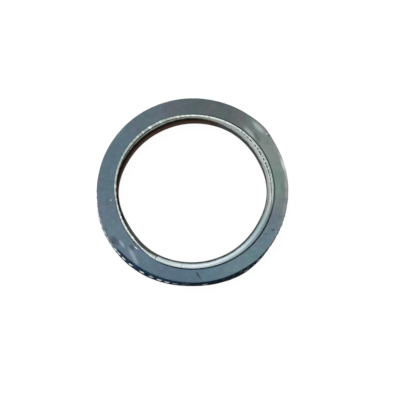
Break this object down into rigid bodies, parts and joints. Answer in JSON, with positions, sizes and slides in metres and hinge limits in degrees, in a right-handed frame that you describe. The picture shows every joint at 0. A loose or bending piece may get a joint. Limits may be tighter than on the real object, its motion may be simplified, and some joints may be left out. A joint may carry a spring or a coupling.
{
  "type": "exhaust gasket",
  "caption": "Flat ring gasket of pressed wire knit and graphite on a rolled steel sleeve that lines its bore, for sealing a round exhaust pipe joint.",
  "frame": {"origin": "on the axis of the bore, in the plane that the lower lip rests on", "axes": "+Z along the axis of the bore, up through the lip that is set back along part of its rim; +X to the right in the view from above"},
  "size_m": [0.0602, 0.0602, 0.0055],
  "materials": {
    "pressed_knit": "matt pressed graphite with steel wire showing through",
    "sleeve_steel": "bright rolled stainless steel, dull with soot inside the bore"
  },
  "bodies": {
    "root": {"mesh_ring": "pressed_knit", "inner_sleeve": "sleeve_steel"}
  },
  "joints": []
}
